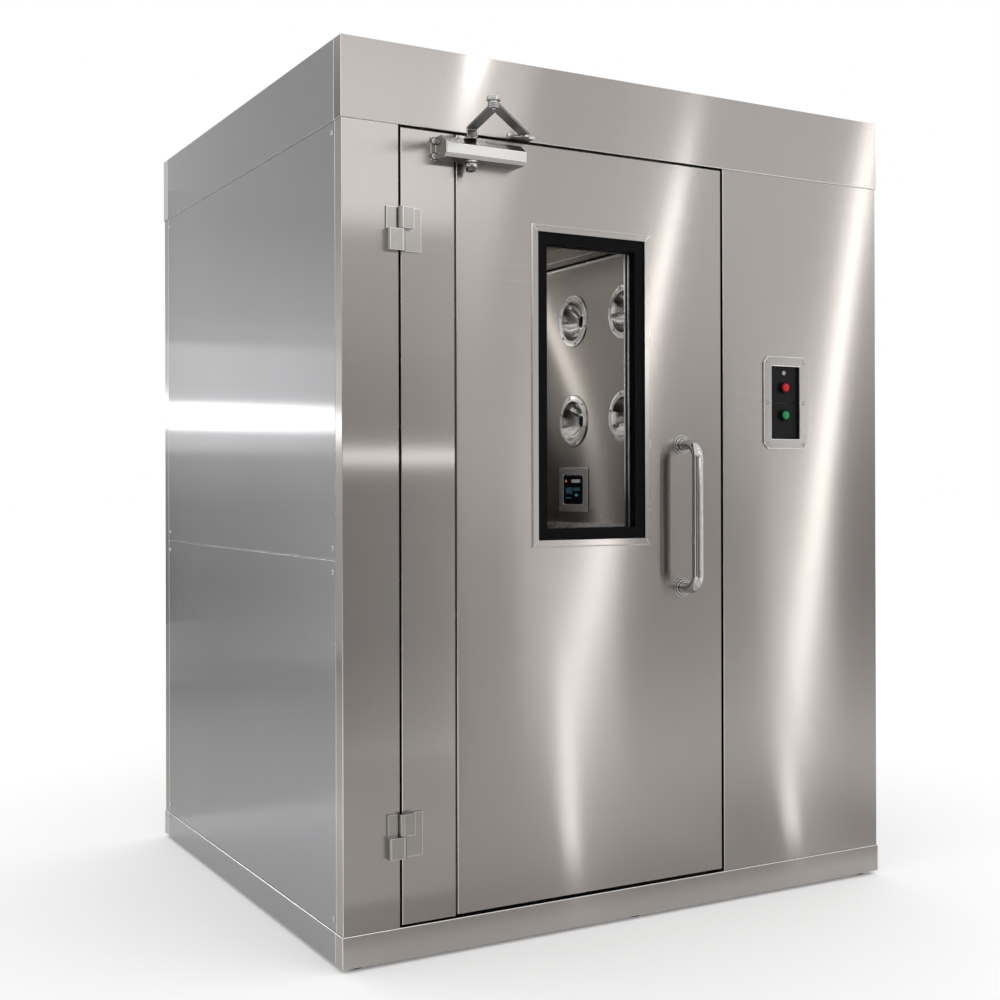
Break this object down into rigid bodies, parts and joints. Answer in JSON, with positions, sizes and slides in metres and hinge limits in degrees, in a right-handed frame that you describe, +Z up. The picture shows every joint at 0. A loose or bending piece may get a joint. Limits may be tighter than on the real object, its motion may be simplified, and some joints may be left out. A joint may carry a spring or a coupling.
{
  "type": "cleanroom air shower",
  "caption": "Walk-through stainless cabinet with a hinged windowed door, a door closer, side wall air nozzles and a blower section beside the chamber.",
  "frame": {"origin": "centre of the cabinet's footprint, on the floor under its feet", "axes": "+Z up, the entry door with the control panel faces -Y, hinges on the -X side"},
  "size_m": [1.662, 1.936, 2.16],
  "materials": {
    "brushed_steel": "brushed",
    "polished_steel": "polished",
    "satin_fittings": "satin",
    "black_rubber": "matt",
    "clear_glass": "clear",
    "black_plastic": "satin",
    "red_lens": "gloss",
    "green_lens": "gloss"
  },
  "bodies": {
    "root": {"plinth_front": "brushed_steel", "plinth_back": "brushed_steel", "plinth_sides": "brushed_steel", "feet": "black_rubber", "floor_plate": "brushed_steel", "header_front": "brushed_steel", "header_back": "brushed_steel", "header_sides": "brushed_steel", "roof_panel": "brushed_steel", "hinge_posts": "brushed_steel", "front_panel": "brushed_steel", "back_panel": "brushed_steel", "left_side_panels": "brushed_steel", "right_side_panels": "brushed_steel", "hinge_jambs": "brushed_steel", "latch_jambs": "brushed_steel", "door_heads": "brushed_steel", "inner_wall_right": "brushed_steel", "inner_wall_left": "brushed_steel", "wall_rails": "brushed_steel", "ceiling": "brushed_steel", "nozzles_right": "polished_steel", "nozzles_left": "polished_steel", "return_grille": "brushed_steel", "controller_frame": "brushed_steel", "controller_screen": "black_plastic", "control_frame": "brushed_steel", "control_plates": "black_plastic", "red_lamp": "red_lens", "green_lamp": "green_lens", "frame_hinges": "satin_fittings", "closer_shoe": "satin_fittings", "exit_door_leaf": "brushed_steel", "exit_hinge_stile": "brushed_steel", "exit_window_gasket": "black_rubber", "exit_window_glass": "clear_glass", "exit_handle": "polished_steel", "exit_hinges": "satin_fittings", "exit_closer": "satin_fittings"},
    "entry_door": {"door_leaf": "brushed_steel", "hinge_stile": "brushed_steel", "window_trim": "brushed_steel", "window_gasket": "black_rubber", "window_glass": "clear_glass", "door_seal": "black_rubber", "door_handle": "polished_steel", "door_hinges": "satin_fittings", "closer_body": "satin_fittings", "closer_bracket": "satin_fittings"},
    "main_arm": {"closer_main_arm": "satin_fittings"},
    "forearm": {"closer_forearm": "satin_fittings"}
  },
  "joints": [
    {"name": "entry_door_swing", "type": "hinge", "parent": "root", "child": "entry_door", "pos_m": [-0.681, -0.7355, 0], "axis": [0, 0, -1], "range_deg": [0, 95], "stiffness_Nm_per_rad": 6},
    {"name": "main_arm_swing", "type": "hinge", "parent": "entry_door", "child": "main_arm", "pos_m": [-0.509, -0.758, 0], "axis": [0, 0, 1], "range_deg": [0, 178]},
    {"name": "forearm_swing", "type": "hinge", "parent": "root", "child": "forearm", "pos_m": [-0.361, -0.758, 0], "axis": [0, 0, 1], "range_deg": [0, 7]}
  ],
  "couplings": [
    {"joint": "main_arm_swing", "follows": "entry_door_swing", "ratio": 1.8728},
    {"joint": "forearm_swing", "follows": "entry_door_swing", "ratio": 0.0715}
  ]
}
